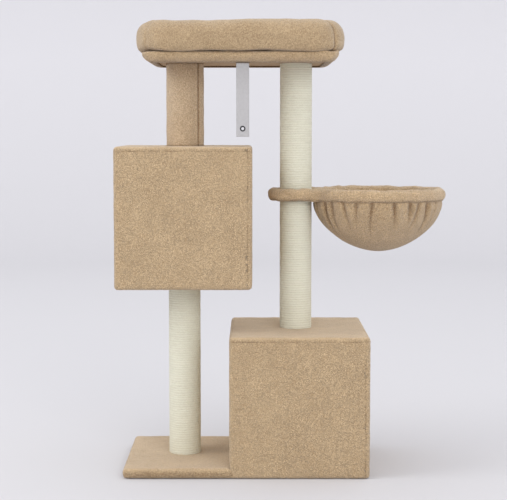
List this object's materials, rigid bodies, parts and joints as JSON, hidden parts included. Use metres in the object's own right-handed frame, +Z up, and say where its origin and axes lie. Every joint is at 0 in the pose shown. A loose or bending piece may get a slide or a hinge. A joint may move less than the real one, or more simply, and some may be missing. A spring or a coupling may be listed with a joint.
{
  "type": "cat tree",
  "caption": "Plush and sisal cat tree with two box condos, two posts, a padded top bed, a swivelling hoop basket and a wall strap.",
  "frame": {"origin": "on the floor, under the middle of the object's outer box", "axes": "+Z up; -Y is the wall side, where the strap hangs; +Y is the side of the condo entrances; the basket is towards +X"},
  "size_m": [0.7212, 0.35, 0.974],
  "materials": {
    "plush": "curly short-pile beige plush",
    "bed_plush": "soft short-pile beige plush, brushed",
    "basket_plush": "soft short-pile beige plush, gathered",
    "lining": "flat beige plush lining",
    "sisal": "natural sisal rope, pale",
    "chipboard": "raw pressed board",
    "cardboard": "raw paper tube",
    "zinc_steel": "bright zinc plate",
    "eyelet_steel": "dark nickel plate",
    "black_steel": "black powder coat",
    "webbing": "flat woven light grey webbing"
  },
  "bodies": {
    "tree": {"base_board": "chipboard", "base_cover": "plush", "base_post_bolt": "zinc_steel", "base_post_washer": "zinc_steel", "basket_stud": "zinc_steel", "bed_board": "chipboard", "bed_board_cover": "plush", "bed_bolster": "bed_plush", "bed_left_bolt": "zinc_steel", "bed_pad": "bed_plush", "bed_right_bolt": "zinc_steel", "left_lower_post_bottom_plug": "chipboard", "left_lower_post_core": "cardboard", "left_lower_post_top_plug": "chipboard", "left_lower_post_wrap": "sisal", "left_upper_post_bottom_plug": "chipboard", "left_upper_post_core": "cardboard", "left_upper_post_top_plug": "chipboard", "left_upper_post_wrap": "plush", "lower_condo_back_panel": "chipboard", "lower_condo_ceiling_bolt": "zinc_steel", "lower_condo_ceiling_washer": "zinc_steel", "lower_condo_cover": "plush", "lower_condo_entrance_binding": "plush", "lower_condo_entrance_panel": "chipboard", "lower_condo_left_panel": "chipboard", "lower_condo_lining": "lining", "lower_condo_right_panel": "chipboard", "lower_condo_top_panel": "chipboard", "right_lower_post_bottom_plug": "chipboard", "right_lower_post_core": "cardboard", "right_lower_post_top_plug": "chipboard", "right_lower_post_wrap": "sisal", "right_upper_post_bottom_plug": "chipboard", "right_upper_post_core": "cardboard", "right_upper_post_top_plug": "chipboard", "right_upper_post_wrap": "sisal", "strap_screw": "zinc_steel", "strap_tab": "webbing", "upper_condo_back_panel": "chipboard", "upper_condo_bottom_panel": "chipboard", "upper_condo_ceiling_bolt": "zinc_steel", "upper_condo_ceiling_washer": "zinc_steel", "upper_condo_cover": "plush", "upper_condo_entrance_binding": "plush", "upper_condo_entrance_panel": "chipboard", "upper_condo_floor_bolt": "zinc_steel", "upper_condo_floor_washer": "zinc_steel", "upper_condo_left_panel": "chipboard", "upper_condo_lining": "lining", "upper_condo_right_panel": "chipboard", "upper_condo_top_panel": "chipboard"},
    "basket": {"basket_hoop": "black_steel", "basket_bracket": "black_steel", "basket_sleeve": "basket_plush", "basket_pouch": "basket_plush"},
    "strap": {"strap_webbing": "webbing", "strap_eyelet": "eyelet_steel"}
  },
  "joints": [
    {"name": "basket_swivel", "type": "hinge", "parent": "tree", "child": "basket", "pos_m": [0.0299, 0, 0.6003], "axis": [0, 0, 1], "range_deg": [-70, 70]},
    {"name": "strap_swing", "type": "hinge", "parent": "tree", "child": "strap", "pos_m": [-0.0865, -0.143, 0.8825], "axis": [-1, 0, 0], "range_deg": [-30, 90]}
  ]
}
